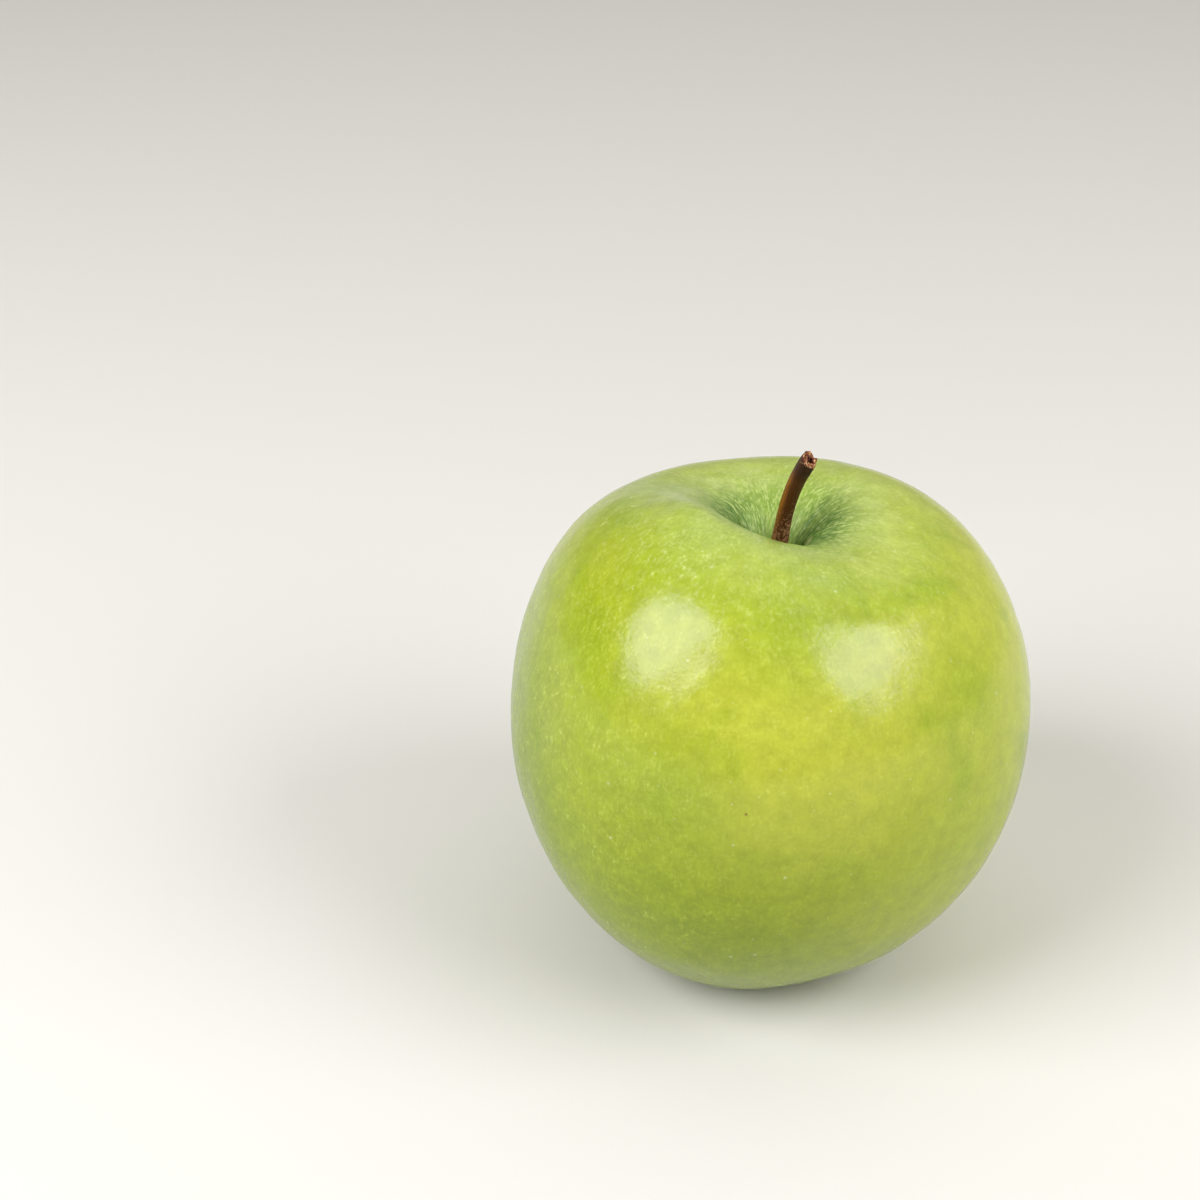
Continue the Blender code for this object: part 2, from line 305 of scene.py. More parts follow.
# The peel of a dessert apple: a thin waxed cuticle over green cells, rubbed to a soft shine. Green drifts
# to yellow, fine pale flecks run from stem to calyx, and pale breathing dots are scattered over it.
# Places and lengths are in mm, and colours are sRGB. A range is (from, to, value at from, value at to), and
# one whose name ends in Down goes softly by the way down the skin from the stem, in units of the widest
# radius, as the other ranges of "down" do evenly. A stroke is (width, length, distance from the core at
# which it has that width, detail, distortion).
peelLook = {
    "greener": "#9EAE22", "yellower": "#B7BD3C", "driftMm": 26.0, "driftGain": (1.7, -0.5),
    "ripeAt": (-3.0, -39.0, 53.0), "ripeRange": (6.0, 34.0, 0.55, -0.1), "ripeToRight": 0.012,

    "smudge": "#86A21C", "smudgeMm": 11.0, "smudgeRange": (0.5, 0.74, 0.0, 0.55),
    "greenPatches": (  # (x, y, z, reach, strength)
        (-16.5, -37.0, 47.0, 15.0, 0.55), (1.0, -28.0, 68.0, 13.0, 0.5), (27.0, -25.0, 57.0, 11.0, 0.45),
        (-29.0, -20.0, 62.0, 10.0, 0.4), (-4.0, -41.0, 33.0, 10.0, 0.3)),
    "patchUneven": (0.3, 0.7, 0.7, 1.3),
    "shoulderDown": (1.0, 0.75, 0.0, 0.28), "shoulderFromLeft": (-32.0, -14.0, 0.3, 1.0),
    # a darker green on the lower flank and the far left: partly their own colour, partly painted shade
    "lowSideShade": "#809406", "lowShadeDown": (1.0, 2.3, 0.0, 1.0), "lowShadeFromLeft": (-12.0, 26.0, 1.12, 0.5),
    "leftSideShade": "#668205", "leftShadeRange": (-27.0, -40.0, 0.0, 0.65),

    # the cavity's dark green, deepest on two sides, is partly its own colour and partly painted shade
    "hollowDarkShade": "#49711F", "hollowMid": "#84A12E", "hollowPale": "#BCCE70",
    "hollowDown": (0.66, 0.32, 0.0, 1.0), "deepShadeDown": (0.56, 0.30, 0.0, 1.0),
    "closeRound": (0.13, 0.04, 0.0, 0.6),
    "hollowShadeWay": (0.97, -0.24, 0.0), "hollowShadeSides": 0.95, "hollowShadeGain": (1.2, -0.45),
    "brush": (0.27, 1.1, 8.0, 4.0, 0.15), "brushRange": (0.46, 0.66, 0.0, 0.75),
    "wideBrush": (1.5, 6.0, 6.0, 2.0, 0.25),

    # pale round the cavity's rim: partly waxy bloom, partly a painted sheen of reflected light
    "bloomAndSheen": "#CFDB90", "bloomSheenStartDown": (0.34, 0.50, 0.0, 0.22), "bloomSheenEndDown": (0.85, 0.52, 0.0, 1.0),
    "sheenWay": (-0.75, 0.65, 0.0), "sheenWayRange": (0.2, 1.0, 1.0, 2.0),
    "bloomSheenUneven": (0.3, 0.7, 0.3, 1.0),

    "fleck": "#CBD680", "fleckLow": "#CAD35C", "fleckFoot": "#B6C238",
    "crownFlecks": (0.30, 1.3, 17.0, 3.0, 0.25), "flankFlecks": (0.34, 1.3, 40.0, 3.0, 0.25),
    "flankDown": (0.75, 1.1, 0.0, 1.0), "fleckStart": (0.2, 0.45, 0.0, 1.0),
    "nearFoot": (1.35, 1.8, 0.0, 1.0),
    "fleckRange": (0.46, 0.80, 0.0, 0.6), "stippleMm": 0.55, "stippleRange": (0.48, 0.74, 0.0, 0.6),
    "clumpMm": 1.7, "clumpRange": (0.36, 0.66, 0.1, 1.35),
    "patchMm": 9.0, "patchGain": (1.9, -0.62), "patchRange": (0.0, 1.0, 0.3, 0.85),
    "waxSide": (-0.012, -0.002, -0.004), "crownDown": (1.3, 0.6, 0.0, 0.35),

    "dot": "#E2E9B2", "dots": ((3.4, 0.26, 0.5), (1.9, 0.14, 0.6)),  # (spacing, radius, share left out)
    "dotStrength": 0.4,
    "spots": (  # a brown speck on the front, russet strokes beside the stem: (colour, place, radius, ragged)
        ("#70501C", (-5.7, -40.2, 47.1), 0.32, 0.4), ("#D8C898", (4.9, -1.0, 68.0), 0.9, 7.6)),
    "spotStrength": 0.85,
    "mottleMm": 0.55, "mottleRange": (0.25, 0.75, -0.05, 0.05),
    "cloudMm": 2.4, "cloudRange": (0.25, 0.75, 0.88, 1.12),

    "ior": 1.45, "roughness": 0.21, "dullest": 0.36, "hollowDullest": 0.5,
    "waveMm": 1.5, "waveHeightMm": 0.036, "poreMm": 0.55, "poreHeightMm": 0.024,
}


def strokes(tree, grain, stroke):
    # noise drawn out from stem to calyx, by a stroke as peelLook has them
    width, length, radius, detail, distortion = stroke
    number = radius / width
    drawn = addNode(tree, "Mapping", {"Vector": grain,
                                      "Scale": (number, number, form["widestRadius"] / length)})
    return addNode(tree, "TexNoise", {"Vector": drawn, "Scale": 1.0, "Detail": detail, "Roughness": 0.6,
                                      "Distortion": distortion})


def peelMaterial():
    look = peelLook
    material, tree, shader = newMaterial("waxed green apple peel")
    place = addNode(tree, "TexCoord", (), output="Object")
    place = addNode(tree, "VectorMath", {0: place, "Scale": 1.0 / mm}, operation="SCALE")
    grain = addNode(tree, "Attribute", (), output="Vector", attribute_name="grain")
    down = addNode(tree, "SeparateXYZ", (grain,), output="Z")
    sideways = addNode(tree, "SeparateXYZ", (place,), output="X")
    # the soft ranges by the way down
    byDown = {name: addNode(tree, "MapRange", (down, *limits), interpolation_type="SMOOTHSTEP")
              for name, limits in look.items() if name.endswith("Down")}

    # slow drift from green to yellow, yellowest at the ripe place and towards the right
    drift = addNode(tree, "TexNoise", {"Vector": place, "Scale": 1.0 / look["driftMm"]})
    away = addNode(tree, "VectorMath", (place, look["ripeAt"]), output="Value", operation="DISTANCE")
    around = addNode(tree, "MapRange", (away, *look["ripeRange"]), interpolation_type="SMOOTHSTEP")
    ripe = addNode(tree, "Math", (drift, *look["driftGain"]), operation="MULTIPLY_ADD")
    ripe = addNode(tree, "Math", (ripe, around), operation="ADD")
    ripe = addNode(tree, "Math", (sideways, look["ripeToRight"], ripe), operation="MULTIPLY_ADD",
                   use_clamp=True)
    layers = [(ripe, look["yellower"])]

    # soft greener smudges anywhere, and greener patches at their places
    smudge = addNode(tree, "TexNoise", {"Vector": place, "Scale": 1.0 / look["smudgeMm"], "Detail": 3.0,
                                        "Distortion": 0.3})
    smudge = addNode(tree, "MapRange", (smudge, *look["smudgeRange"]), interpolation_type="SMOOTHSTEP")
    uneven = addNode(tree, "MapRange", (drift, *look["patchUneven"]))
    for x, y, z, reach, strength in look["greenPatches"]:
        away = addNode(tree, "VectorMath", (place, (x, y, z)), output="Value", operation="DISTANCE")
        patch = addNode(tree, "MapRange", (away, 0.0, reach, strength, 0.0), interpolation_type="SMOOTHSTEP")
        smudge = addNode(tree, "Math", (smudge, product(tree, patch, uneven)), operation="MAXIMUM")
    layers.append((smudge, look["smudge"]))

    # the shoulder is greener; the lower flank and the far left are a duller, darker green, partly their own
    # colour and partly painted shade
    fromLeft = addNode(tree, "MapRange", (sideways, *look["shoulderFromLeft"]))
    layers.append((product(tree, byDown["shoulderDown"], fromLeft), look["smudge"]))
    # painted shade in part: the lower flank turns darker, more so towards the left
    fromLeft = addNode(tree, "MapRange", (sideways, *look["lowShadeFromLeft"]))
    low = addNode(tree, "Math", (byDown["lowShadeDown"], fromLeft), operation="MULTIPLY", use_clamp=True)
    layers.append((low, look["lowSideShade"]))
    # painted shade in part: the far left turns a darker green
    leftShadeShare = addNode(tree, "MapRange", (sideways, *look["leftShadeRange"]), interpolation_type="SMOOTHSTEP")
    layers.append((leftShadeShare, look["leftSideShade"]))

    # the stem cavity: dark and bright green brushed inwards, pale close round the stem; the dark green deep
    # down on two sides is partly its own colour and partly painted shade
    brush = strokes(tree, grain, look["brush"])
    wide = strokes(tree, grain, look["wideBrush"])
    # painted shade in part: darker deep down on the cavity's two sides
    side = addNode(tree, "VectorMath", (grain, look["hollowShadeWay"]), output="Value", operation="DOT_PRODUCT")
    dark = addNode(tree, "Math", (wide, *look["hollowShadeGain"]), operation="MULTIPLY_ADD")
    twoSides = product(tree, side, side)
    dark = addNode(tree, "Math", (twoSides, look["hollowShadeSides"], dark), operation="MULTIPLY_ADD")
    dark = addNode(tree, "Math", (dark, byDown["deepShadeDown"]), operation="MULTIPLY", use_clamp=True)
    pale = addNode(tree, "MapRange", (brush, *look["brushRange"]))
    closeRound = addNode(tree, "MapRange", (down, *look["closeRound"]))
    pale = addNode(tree, "Math", (pale, closeRound), operation="ADD", use_clamp=True)
    inHollow = laidOver(tree, look["hollowMid"], [(dark, look["hollowDarkShade"]), (pale, look["hollowPale"])])
    hollow = byDown["hollowDown"]
    layers.append((hollow, inHollow))

    # pale bloom round the rim of the cavity, strongest towards the back left: partly waxy bloom, partly a
    # painted sheen of reflected light
    side = addNode(tree, "VectorMath", (grain, look["sheenWay"]), output="Value", operation="DOT_PRODUCT")
    oneSided = addNode(tree, "MapRange", (side, *look["sheenWayRange"]))
    uneven = addNode(tree, "MapRange", (wide, *look["bloomSheenUneven"]))
    bloomAndSheen = product(tree, byDown["bloomSheenStartDown"], oneSided, byDown["bloomSheenEndDown"], uneven)
    layers.append((bloomAndSheen, look["bloomAndSheen"]))

    # fine pale flecks: one width of stroke takes over from the other from crown to flank; stipple and
    # clumps break them up, and they are thickest in patches, on the crown and on the waxy side
    toFlank = byDown["flankDown"]
    flecks = addNode(tree, "Mix", {0: toFlank, 2: strokes(tree, grain, look["crownFlecks"]),
                                   3: strokes(tree, grain, look["flankFlecks"])})
    flecks = addNode(tree, "MapRange", (flecks, *look["fleckRange"]))
    stipple = addNode(tree, "TexNoise", {"Vector": place, "Scale": 1.0 / look["stippleMm"], "Detail": 3.0,
                                         "Roughness": 0.6, "Distortion": 0.5})
    stipple = addNode(tree, "MapRange", (stipple, *look["stippleRange"]))
    flecks = addNode(tree, "Math", (flecks, stipple), operation="ADD")
    clumps = addNode(tree, "TexNoise", {"Vector": place, "Scale": 1.0 / look["clumpMm"], "Detail": 3.0,
                                        "Roughness": 0.65, "Distortion": 0.6})
    clumps = addNode(tree, "MapRange", (clumps, *look["clumpRange"]))
    flecks = addNode(tree, "Math", (flecks, clumps), operation="MULTIPLY", use_clamp=True)
    patches = addNode(tree, "TexNoise", {"Vector": place, "Scale": 1.0 / look["patchMm"], "Detail": 3.0,
                                         "Roughness": 0.6})
    patches = addNode(tree, "Math", (patches, *look["patchGain"]), operation="MULTIPLY_ADD")
    waxy = addNode(tree, "VectorMath", (place, look["waxSide"]), output="Value", operation="DOT_PRODUCT")
    for more in (waxy, byDown["crownDown"]):
        patches = addNode(tree, "Math", (patches, more), operation="ADD")
    patches = addNode(tree, "MapRange", (patches, *look["patchRange"]))
    start = addNode(tree, "MapRange", (down, *look["fleckStart"]))
    flecks = product(tree, flecks, patches, start)
    foot = addNode(tree, "MapRange", (down, *look["nearFoot"]))
    fleckColour = laidOver(tree, look["fleck"], [(toFlank, look["fleckLow"]), (foot, look["fleckFoot"])])
    layers.append((flecks, fleckColour))

    # pale breathing dots in two sizes: the middles of cells, left out of some cells by their random colour
    dots = 0.0
    for spacing, radius, leftOut in look["dots"]:
        fromMiddle = addNode(tree, "TexVoronoi", {"Vector": place, "Scale": 1.0 / spacing}, output="Distance")
        chance = addNode(tree, "SeparateColor", (fromMiddle.node.outputs["Color"],))
        chance = addNode(tree, "MapRange", (chance, leftOut, 1.0, 0.0, look["dotStrength"]))
        reach = radius / spacing
        dot = addNode(tree, "MapRange", (fromMiddle, 1.5 * reach, 0.3 * reach),
                      interpolation_type="SMOOTHSTEP")
        dots = addNode(tree, "Math", (dots, product(tree, dot, chance)), operation="MAXIMUM")
    layers.append((dots, look["dot"]))

    # the spots' edges are ragged by the brush strokes, whose middle value is taken off again
    for spotColour, spotAt, radius, ragged in look["spots"]:
        away = addNode(tree, "VectorMath", (place, spotAt), output="Value", operation="DISTANCE")
        away = addNode(tree, "Math", (brush, ragged, away), operation="MULTIPLY_ADD")
        middle = 0.425 * ragged
        spot = addNode(tree, "MapRange", (away, radius + middle, 0.4 * radius + middle, 0.0,
                                          look["spotStrength"]))
        layers.append((spot, spotColour))
    colour = laidOver(tree, look["greener"], layers)

    # mottle of the cells under the cuticle, and faint clouds
    mottle = addNode(tree, "TexNoise", {"Vector": place, "Scale": 1.0 / look["mottleMm"], "Roughness": 0.6})
    mottle = addNode(tree, "MapRange", (mottle, *look["mottleRange"]))
    cloud = addNode(tree, "TexNoise", {"Vector": place, "Scale": 1.0 / look["cloudMm"], "Detail": 3.0,
                                       "Roughness": 0.6})
    cloud = addNode(tree, "MapRange", (cloud, *look["cloudRange"]))
    mottle = addNode(tree, "Math", (mottle, cloud), operation="ADD")
    colour = addNode(tree, "VectorMath", {0: colour, "Scale": mottle}, operation="SCALE")
    tree.links.new(colour, shader.inputs["Base Color"])

    # the shine is duller on the flecks and dots, and dullest in the cavity, where nothing rubs
    dull = addNode(tree, "Math", (flecks, dots), operation="MAXIMUM")
    roughness = addNode(tree, "MapRange", (dull, 0.0, 1.0, look["roughness"], look["dullest"]))
    inside = product(tree, hollow, look["hollowDullest"])
    roughness = addNode(tree, "Math", (roughness, inside), operation="MAXIMUM")
    tree.links.new(roughness, shader.inputs["Roughness"])
    shader.inputs["IOR"].default_value = look["ior"]

    # the skin isn't quite even, which frays the edges of reflections
    waves = addNode(tree, "TexNoise", {"Vector": place, "Scale": 1.0 / look["waveMm"], "Detail": 3.0})
    relief = addNode(tree, "Bump", {"Height": waves, "Distance": look["waveHeightMm"] * mm, "Strength": 1.0})
    pores = addNode(tree, "TexNoise", {"Vector": place, "Scale": 1.0 / look["poreMm"]})
    relief = addNode(tree, "Bump", {"Height": pores, "Distance": look["poreHeightMm"] * mm, "Strength": 1.0,
                                    "Normal": relief})
    tree.links.new(relief, shader.inputs["Normal"])
    return material


makeSkin(peelMaterial())


# the stem, in millimetres; shares of its length run from 0 at the foot to 1 at the break

stemForm = {
    "rise": 22.9, "reach": (4.5, -3.2), "lowerSlope": (0.17, -0.10), "upperSlope": (0.52, -0.25),
    "handle": 8.5, "baseRadius": 1.42, "waistRadius": 1.16, "endRadius": 1.26, "rooting": 1.8,
    "waistShare": 0.6, "swellShare": 0.25, "collar": 0.30, "collarShare": 0.14, "collarFade": 0.10,
    "breakNormal": (0.62, -0.45, 0.60), "breakShare": 0.12,
    "sides": 84, "steps": 170, "rootSteps": 8, "breakRows": 26,
    "twist": 0.9, "drawnOut": 1.6,  # the twist in radians, and how far the ridges are drawn out
    "ridge": 0.05, "ridgesTurn": 40.0, "wrinkle": 0.035, "lump": 0.13, "lumpShare": 0.14, "lumpFade": 0.12,
    "ridgeNoise": (1.5, 3), "wrinkleNoise": (2.2, 5), "lumpNoise": (0.7, 8),  # (length, seed)
    "wrinkleStretch": (5.0, 5.0, 4.0), "lumpStretch": (1.0, 1.0, 6.0),
    "lip": 0.12, "lipAt": 0.9, "lipWidth": 0.09, "hollow": 0.42, "hollowFrom": 0.5, "hollowFade": 0.35,
    "tears": 0.35, "tearNoise": (0.8, 21), "fineTears": 0.25, "fineTearNoise": (0.32, 22), "tearFade": 0.15,
}


def stemCourse():
    # the stem's middle line, a short straight root and one cubic, and at each point of it the way along
    # and two ways across
    f = stemForm
    floorHeight = form["crestHeight"] - form["cavityDepth"]
    foot = np.append(leanAt(floorHeight), floorHeight - form["footFlat"]) - formMiddle
    tip = foot + [f["reach"][0], f["reach"][1], f["rise"]]
    lower, upper = np.array([*f["lowerSlope"], 1.0]), np.array([*f["upperSlope"], 1.0])
    lower = f["handle"] * lower / np.linalg.norm(lower)
    upper = f["handle"] * upper / np.linalg.norm(upper)
    rooted = foot - [0.0, 0.0, f["rooting"]]
    t = np.linspace(0.0, 1.0, f["steps"] - f["rootSteps"] + 1)
    path = np.vstack([np.linspace(rooted, foot, f["rootSteps"])[:-1],
                      cubic(foot, foot + lower, tip - upper, tip, t)])
    along = np.gradient(path, axis=0)
    along /= np.linalg.norm(along, axis=1)[:, None]
    side = np.cross([0.0, 1.0, 0.0], along)
    side /= np.linalg.norm(side, axis=1)[:, None]
    return path, along, side, np.cross(along, side)


def makeStem(material):
    # rings along the course: narrowing from foot to waist and swelling at the end, with soft ridges and
    # wrinkles; the last rings turn to the slant of the break, which is closed by rows that sink to a hollow
    f = stemForm
    path, along, side, front = stemCourse()
    share = np.linspace(0.0, 1.0, len(path))
    radius = f["baseRadius"] - (f["baseRadius"] - f["waistRadius"]) * smoothStep(share / f["waistShare"])
    swell = smoothStep((share - 1.0 + f["swellShare"]) / f["swellShare"])
    radius = radius + (f["endRadius"] - f["waistRadius"]) * swell
    radius = radius + f["collar"] * smoothStep((f["collarShare"] - share) / f["collarFade"])
    angle = np.linspace(0.0, fullTurn, f["sides"], endpoint=False)[None, :]
    turn = angle + f["twist"] * share[:, None]
    rise = f["drawnOut"] * share[:, None] * np.ones_like(turn)
    circle = np.stack([np.cos(turn), np.sin(turn), rise], axis=-1)
    rough = (f["ridge"] * (wave(turn, 3, f["ridgesTurn"]) + softNoise(circle, *f["ridgeNoise"]))
             + f["wrinkle"] * softNoise(circle * f["wrinkleStretch"], *f["wrinkleNoise"]))
    lumps = softNoise(circle * f["lumpStretch"], *f["lumpNoise"])
    rough = rough + f["lump"] * lumps * smoothStep((share[:, None] - 1.0 + f["lumpShare"]) / f["lumpFade"])
    size = radius[:, None] + rough
    spoke = np.cos(angle)[..., None] * side[:, None] + np.sin(angle)[..., None] * front[:, None]
    normal = np.array(f["breakNormal"])
    slide = -(spoke @ normal) / (along @ normal)[:, None]
    turning = smoothStep((share - 1.0 + f["breakShare"]) / f["breakShare"])
    spoke = spoke + (slide * turning[:, None])[..., None] * along[:, None]
    tube = path[:, None] + size[..., None] * spoke

    # the break: a raised lip, a hollow in the middle, and torn lumps that start inside the edge
    inward = np.linspace(1.0, 0.04, f["breakRows"] + 1)[1:, None]
    flatCircle = np.stack([np.cos(angle), np.sin(angle)], axis=-1) * inward[..., None]
    torn = (f["tears"] * softNoise(flatCircle, *f["tearNoise"])
            + f["fineTears"] * softNoise(flatCircle, *f["fineTearNoise"]))
    height = (f["lip"] * np.exp(-((inward - f["lipAt"]) / f["lipWidth"]) ** 2)
              - f["hollow"] * smoothStep((f["hollowFrom"] - inward) / f["hollowFade"])
              + torn * smoothStep((1.0 - inward) / f["tearFade"]))
    edge = size[-1][:, None] * spoke[-1]
    face = path[-1] + inward[..., None] * edge + height[..., None] * along[-1]

    stem = makePiece("bark_stem", closedGrid(np.concatenate([tube, face])[::-1]), "stem", material)
    # up: the share of the length; broken: from 0 at the edge of the break to 1 in its middle; bark: a unit
    # circle round the stem and the share of the length
    rows = np.append(share, np.ones(f["breakRows"]))[::-1, None] * np.ones_like(angle)
    broken = np.append(np.zeros(len(share)), 1.0 - inward[:, 0])[::-1, None] * np.ones_like(angle)
    addAttribute(stem, "up", np.append(rows.reshape(-1), [1.0, 0.0]))
    addAttribute(stem, "broken", np.append(broken.reshape(-1), [1.0, 0.0]))
    around = angle * np.ones_like(rows)
    barkPlace = np.stack([np.cos(around), np.sin(around), rows], axis=-1).reshape(-1, 3)
    addAttribute(stem, "bark", np.vstack([barkPlace, [[0.0, 0.0, 1.0], [0.0, 0.0, 0.0]]]))
    return path[-1], along[-1], edge


# Bark of a picked apple stem: thin and brown with a dull shine, grey-pink scurf at the foot, a dark ring
# under the break, and torn pinkish wood round a dark pith at the end. Ranges are as in peelLook, and one
# by "Up" goes by the share of the stem's length.
barkLook = {
    "bark": "#4C2808", "shade": "#4A2A0A",
    "shadeWay": (0.95, -0.30, 0.0), "shadeRange": (-0.1, 0.9, 0.0, 1.0),
    # warm orange brown on the left side: painted light
    "litBrown": "#8A560C", "litWay": (-0.95, -0.30, 0.0), "litRange": (1.2, 1.66, 0.0, 0.9),
    "streaks": (3.2, 3.2, 5.0), "streakGain": 1.1,
    "scurf": "#A87C50", "scurfMm": 0.42, "scurfRange": (0.50, 0.60, 0.0, 0.75),
    "scurfUp": (0.72, 0.38, -0.14, 0.08), "scurfInShade": 0.03,
    "dark": "#2A1508", "ringUp": (0.83, 0.94, 0.0, 0.85),
    "wood": "#8A3418", "paleWood": "#EAC07C", "shredMm": 0.4, "shredRange": (0.48, 0.60, 0.0, 1.0),
    "pith": "#2C0A04", "crackMm": 0.55, "crackRange": (0.45, 0.38, 0.0, 0.9),
    "pithMm": 0.5, "pithGain": 0.7, "pithRange": (0.86, 1.02, 0.0, 0.95), "breakEdge": (0.02, 0.08, 0.0, 1.0),
    "roughness": 0.5, "scurfRoughness": 0.8, "breakRoughness": 0.4, "shine": 0.25,
    "grainMm": 0.2, "reliefMm": 0.03,
}


def barkMaterial():
    look = barkLook
    material, tree, shader = newMaterial("apple stem bark")
    place = addNode(tree, "TexCoord", (), output="Object")
    place = addNode(tree, "VectorMath", {0: place, "Scale": 1.0 / mm}, operation="SCALE")
    up = addNode(tree, "Attribute", (), output="Fac", attribute_name="up")
    broken = addNode(tree, "Attribute", (), output="Fac", attribute_name="broken")
    bark = addNode(tree, "Attribute", (), output="Vector", attribute_name="bark")

    # bark: dark brown with long streaks, a shade colour painted on its right side, and warm orange brown
    # painted as light on its left side
    streaks = addNode(tree, "Mapping", {"Vector": bark, "Scale": look["streaks"]})
    streaks = addNode(tree, "TexNoise", {"Vector": streaks, "Scale": 1.0, "Detail": 5.0, "Roughness": 0.65})
    shade = addNode(tree, "VectorMath", (bark, look["shadeWay"]), output="Value", operation="DOT_PRODUCT")
    shade = addNode(tree, "MapRange", (shade, *look["shadeRange"]))
    litBrown = addNode(tree, "VectorMath", (bark, look["litWay"]), output="Value", operation="DOT_PRODUCT")
    litBrown = addNode(tree, "Math", (streaks, look["streakGain"], litBrown), operation="MULTIPLY_ADD")
    litBrown = addNode(tree, "MapRange", (litBrown, *look["litRange"]), interpolation_type="SMOOTHSTEP")

    # scurf on the lower half, thickest at the foot, and a dark ring under the break
    scurf = addNode(tree, "TexNoise", {"Vector": place, "Scale": 1.0 / look["scurfMm"], "Detail": 3.0,
                                       "Roughness": 0.75})
    lower = addNode(tree, "MapRange", (up, *look["scurfUp"]))
    lower = addNode(tree, "Math", (shade, look["scurfInShade"], lower), operation="MULTIPLY_ADD")
    scurf = addNode(tree, "Math", (scurf, lower), operation="ADD")
    scurf = addNode(tree, "MapRange", (scurf, *look["scurfRange"]))
    ring = addNode(tree, "MapRange", (up, *look["ringUp"]), interpolation_type="SMOOTHSTEP")

    # torn wood: pale shreds, dark cracks, and a dark pith in the middle
    shreds = addNode(tree, "TexNoise", {"Vector": place, "Scale": 1.0 / look["shredMm"], "Detail": 3.0,
                                        "Roughness": 0.6, "Distortion": 1.0})
    shreds = addNode(tree, "MapRange", (shreds, *look["shredRange"]))
    cracks = addNode(tree, "TexNoise", {"Vector": place, "Scale": 1.0 / look["crackMm"], "Distortion": 1.5})
    cracks = addNode(tree, "MapRange", (cracks, *look["crackRange"]))
    pith = addNode(tree, "TexNoise", {"Vector": place, "Scale": 1.0 / look["pithMm"], "Detail": 3.0})
    pith = addNode(tree, "Math", (pith, look["pithGain"], broken), operation="MULTIPLY_ADD")
    pith = addNode(tree, "MapRange", (pith, *look["pithRange"]))
    wood = laidOver(tree, look["wood"], [(shreds, look["paleWood"]), (cracks, look["pith"]),
                                         (pith, look["pith"])])
    onBreak = addNode(tree, "MapRange", (broken, *look["breakEdge"]))
    colour = laidOver(tree, look["bark"], [(shade, look["shade"]), (litBrown, look["litBrown"]),
                                           (scurf, look["scurf"]), (ring, look["dark"]), (onBreak, wood)])
    tree.links.new(colour, shader.inputs["Base Color"])

    roughness = addNode(tree, "MapRange", (scurf, 0.0, 1.0, look["roughness"], look["scurfRoughness"]))
    roughness = addNode(tree, "Mix", {0: onBreak, 2: roughness, 3: look["breakRoughness"]})
    tree.links.new(roughness, shader.inputs["Roughness"])
    shader.inputs["Specular IOR Level"].default_value = look["shine"]
    relief = addNode(tree, "TexNoise", {"Vector": place, "Scale": 1.0 / look["grainMm"], "Detail": 3.0})
    relief = addNode(tree, "Math", (relief, scurf), operation="ADD")
    relief = addNode(tree, "Bump", {"Height": relief, "Distance": look["reliefMm"] * mm, "Strength": 1.0})
    tree.links.new(relief, shader.inputs["Normal"])
    return material


def tubeAlong(path, radius, sides, flatten, across):
    # oval rings along a path: centre + radius (cos a side + flatten sin a front), side kept square to across
    along = np.gradient(path, axis=0)
    along /= np.linalg.norm(along, axis=1)[:, None]
    side = np.cross(across, along)
    side /= np.linalg.norm(side, axis=1)[:, None]
    front = np.cross(along, side)
    angle = np.linspace(0.0, fullTurn, sides, endpoint=False)[None, :, None]
    spoke = np.cos(angle) * side[:, None] + flatten * np.sin(angle) * front[:, None]
    return (path[:, None] + radius[:, None, None] * spoke)[::-1]


# Torn wood fibres at the end of the stem: short and pale, some stained rosy. Pairs are least and most.
fibreLook = {
    "count": 64, "length": (0.35, 1.1), "radius": (0.05, 0.14), "flatten": (0.35, 0.9), "seed": 4,
    "steps": 7, "sides": 6, "fromMiddle": (0.3, 0.98), "rise": (0.15, 0.5), "rooting": 0.08,
    "curl": (-0.25, 0.4), "twist": 0.8,  # outwards: mean and spread; sideways: spread
    "pale": "#EAC07C", "rosy": "#7A2C18", "flecksPerMm": 6.0, "tintLift": 0.1, "roughness": 0.4,
}


def makeFibres(material, tip, along, edge):
    # torn fibres: short tapering strips that start on the break, rise, and curl outwards and over
    look = fibreLook
    dice = np.random.default_rng(look["seed"])
    parts, tints = [], []
    t = np.linspace(0.0, 1.0, look["steps"])
    for _ in range(look["count"]):
        spoke = edge[dice.integers(len(edge))]
        outward = spoke / np.linalg.norm(spoke)
        start = tip + spoke * math.sqrt(dice.uniform(*look["fromMiddle"])) - look["rooting"] * along
        length = dice.uniform(*look["length"])
        twist = np.cross(along, outward) * dice.normal(0.0, look["twist"])
        rise = along * dice.uniform(*look["rise"])
        bend = outward * dice.normal(*look["curl"]) + twist
        path = cubic(start, start + 0.4 * length * rise, start + length * (0.5 * rise + 0.4 * bend),
                     start + length * (0.15 * rise + 0.8 * bend), t)
        radius = dice.uniform(*look["radius"]) * np.sqrt(1.02 - t)
        rings = tubeAlong(path, radius, look["sides"], dice.uniform(*look["flatten"]), dice.normal(size=3))
        parts.append(rings)
        tints.append(np.full(rings.shape[0] * rings.shape[1] + 2, dice.uniform()))
    fibres = makePiece("torn_fibres", joinedGrids(parts), None, material)
    addAttribute(fibres, "tint", np.concatenate(tints))


